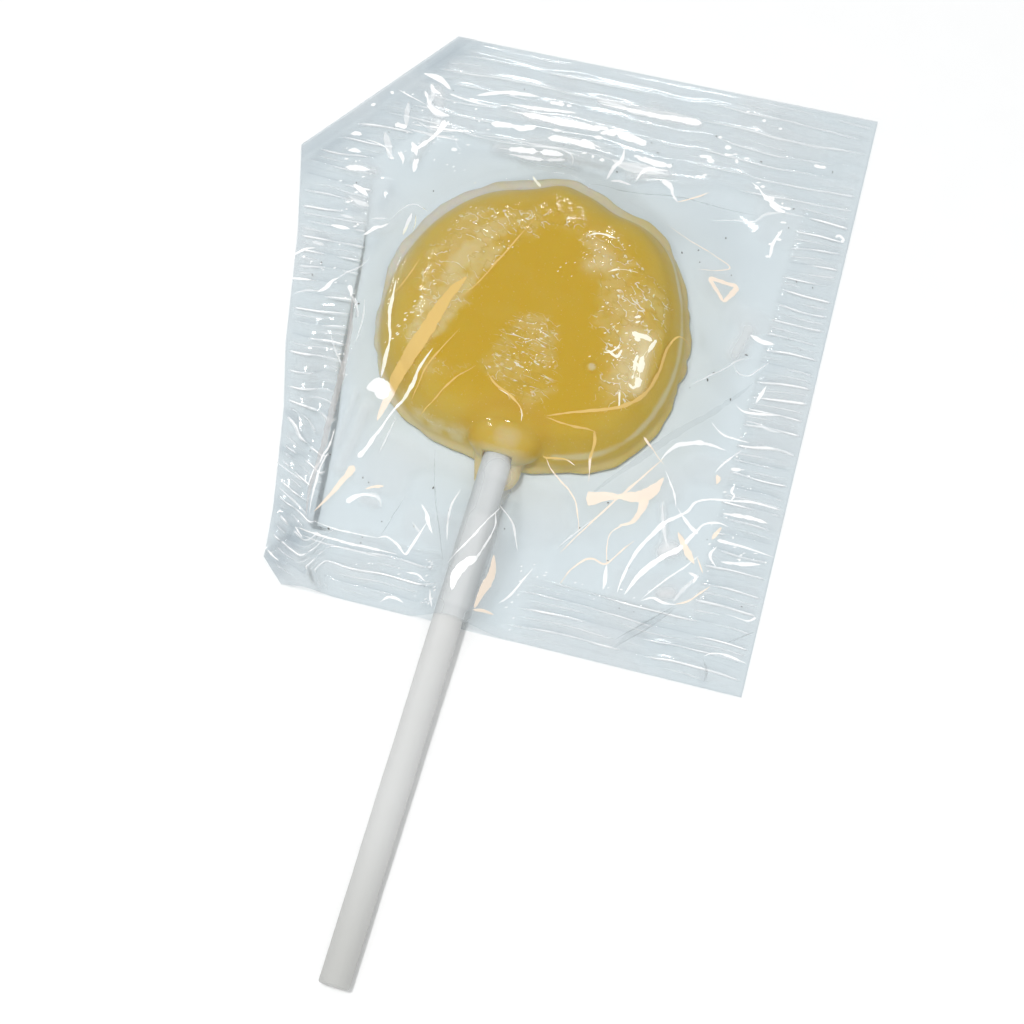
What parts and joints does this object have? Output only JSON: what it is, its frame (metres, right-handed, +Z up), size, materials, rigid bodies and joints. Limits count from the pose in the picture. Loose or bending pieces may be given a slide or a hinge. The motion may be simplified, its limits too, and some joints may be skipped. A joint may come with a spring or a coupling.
{
  "type": "honey lollipop",
  "caption": "Round flat honey lollipop on a straight white stick, lying in a clear crimp-sealed film pouch with one corner folded over.",
  "frame": {"origin": "middle of the underside of the whole, at the height of the table it lies on", "axes": "+Z up, +Y along the stick towards the candy, +X to the right when seen from above with the candy at the far end"},
  "size_m": [0.0788, 0.1362, 0.0099],
  "materials": {
    "candy": "cloudy amber honey sugar, glossy, partly see-through",
    "stick": "plain white, satin",
    "film": "clear thin plastic film with crimped seals and creases"
  },
  "bodies": {
    "root": {"candy": "candy", "stick": "stick", "wrapper": "film"}
  },
  "joints": []
}
